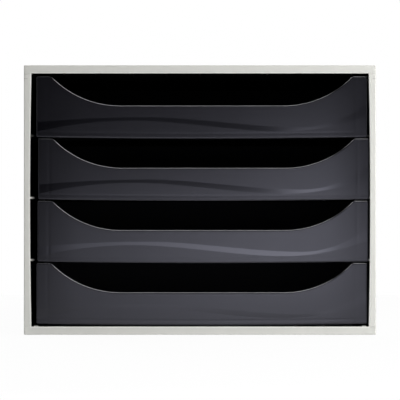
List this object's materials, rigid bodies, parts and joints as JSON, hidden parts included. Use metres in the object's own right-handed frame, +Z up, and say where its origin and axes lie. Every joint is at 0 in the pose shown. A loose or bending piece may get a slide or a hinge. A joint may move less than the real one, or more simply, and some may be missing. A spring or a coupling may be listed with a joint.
{
  "type": "letter tray stack with drawers",
  "caption": "Wide desk-top letter tray stack: a light grey moulded housing with smoke-black sliding drawers that have scooped fronts.",
  "frame": {"origin": "on the surface that the stack stands on, under the middle of its bounding box", "axes": "+X to the right as seen from the front, -Y out of the drawers' fronts, +Z up"},
  "size_m": [0.355, 0.27, 0.2723],
  "materials": {
    "housing_plastic": "light warm-grey polystyrene, fine satin texture",
    "drawer_plastic": "smoke-black polystyrene, fine satin texture with a polished wave stripe on the front",
    "foot_rubber": "soft dark-grey rubber"
  },
  "bodies": {
    "housing": {"top_panel": "housing_plastic", "base_panel": "housing_plastic", "left_side_panel": "housing_plastic", "right_side_panel": "housing_plastic", "back_panel": "housing_plastic", "foot_front_left": "foot_rubber", "foot_front_right": "foot_rubber", "foot_back_left": "foot_rubber", "foot_back_right": "foot_rubber"},
    "drawer_1": {"drawer_1": "drawer_plastic"},
    "drawer_2": {"drawer_2": "drawer_plastic"},
    "drawer_3": {"drawer_3": "drawer_plastic"},
    "drawer_4": {"drawer_4": "drawer_plastic"}
  },
  "joints": [
    {"name": "drawer_1_slide", "type": "slide", "parent": "housing", "child": "drawer_1", "axis": [0, -1, 0], "range_m": [0, 0.2]},
    {"name": "drawer_2_slide", "type": "slide", "parent": "housing", "child": "drawer_2", "axis": [0, -1, 0], "range_m": [0, 0.2]},
    {"name": "drawer_3_slide", "type": "slide", "parent": "housing", "child": "drawer_3", "axis": [0, -1, 0], "range_m": [0, 0.2]},
    {"name": "drawer_4_slide", "type": "slide", "parent": "housing", "child": "drawer_4", "axis": [0, -1, 0], "range_m": [0, 0.2]}
  ]
}
